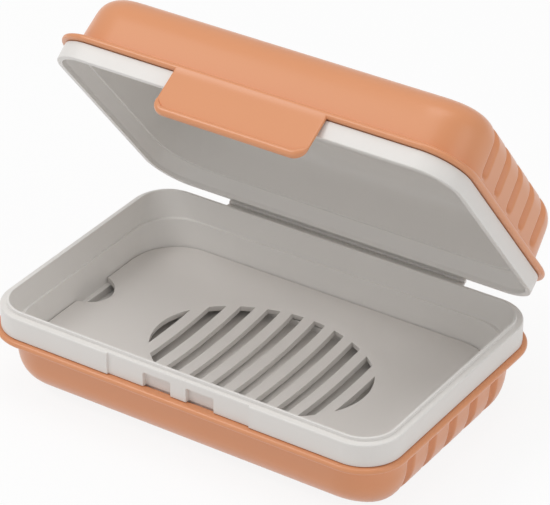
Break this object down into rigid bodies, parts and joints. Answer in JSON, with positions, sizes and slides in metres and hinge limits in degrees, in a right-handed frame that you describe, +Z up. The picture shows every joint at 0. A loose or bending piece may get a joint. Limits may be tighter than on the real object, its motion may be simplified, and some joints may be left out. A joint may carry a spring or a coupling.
{
  "type": "travel soap box",
  "caption": "Travel soap box with a hinged lid, pale inner liners, a front latch tab and a lift-out draining grid",
  "frame": {"origin": "centre of the flat underside of the base, on the surface that the box stands on", "axes": "+X along the box, its longest side; -Y towards the latch at the front, +Y towards the hinge; +Z up"},
  "size_m": [0.1124, 0.0851, 0.0884],
  "materials": {
    "shell_orange": "satin moulded plastic, muted orange",
    "liner_white": "satin moulded plastic, off-white",
    "grid_grey": "satin moulded plastic, warm pale grey"
  },
  "bodies": {
    "base": {"base_shell": "shell_orange", "base_liner": "liner_white", "hinge_film": "liner_white"},
    "lid": {"lid_shell": "shell_orange", "lid_liner": "liner_white"},
    "latch": {"latch_tab": "shell_orange"},
    "grid": {"drain_grid": "grid_grey"}
  },
  "joints": [
    {"name": "lid_hinge", "type": "hinge", "parent": "base", "child": "lid", "pos_m": [0, 0.03715, 0.0228], "axis": [-1, 0, 0], "range_deg": [-51.3, 123.7]},
    {"name": "latch_flex", "type": "hinge", "parent": "lid", "child": "latch", "pos_m": [0, -0.00461, 0.0834], "axis": [-1, 0, 0], "range_deg": [-2.5, 12], "stiffness_Nm_per_rad": 0.2},
    {"name": "grid_lift", "type": "slide", "parent": "base", "child": "grid", "axis": [0, 0, 1], "range_m": [0, 0.01]}
  ]
}
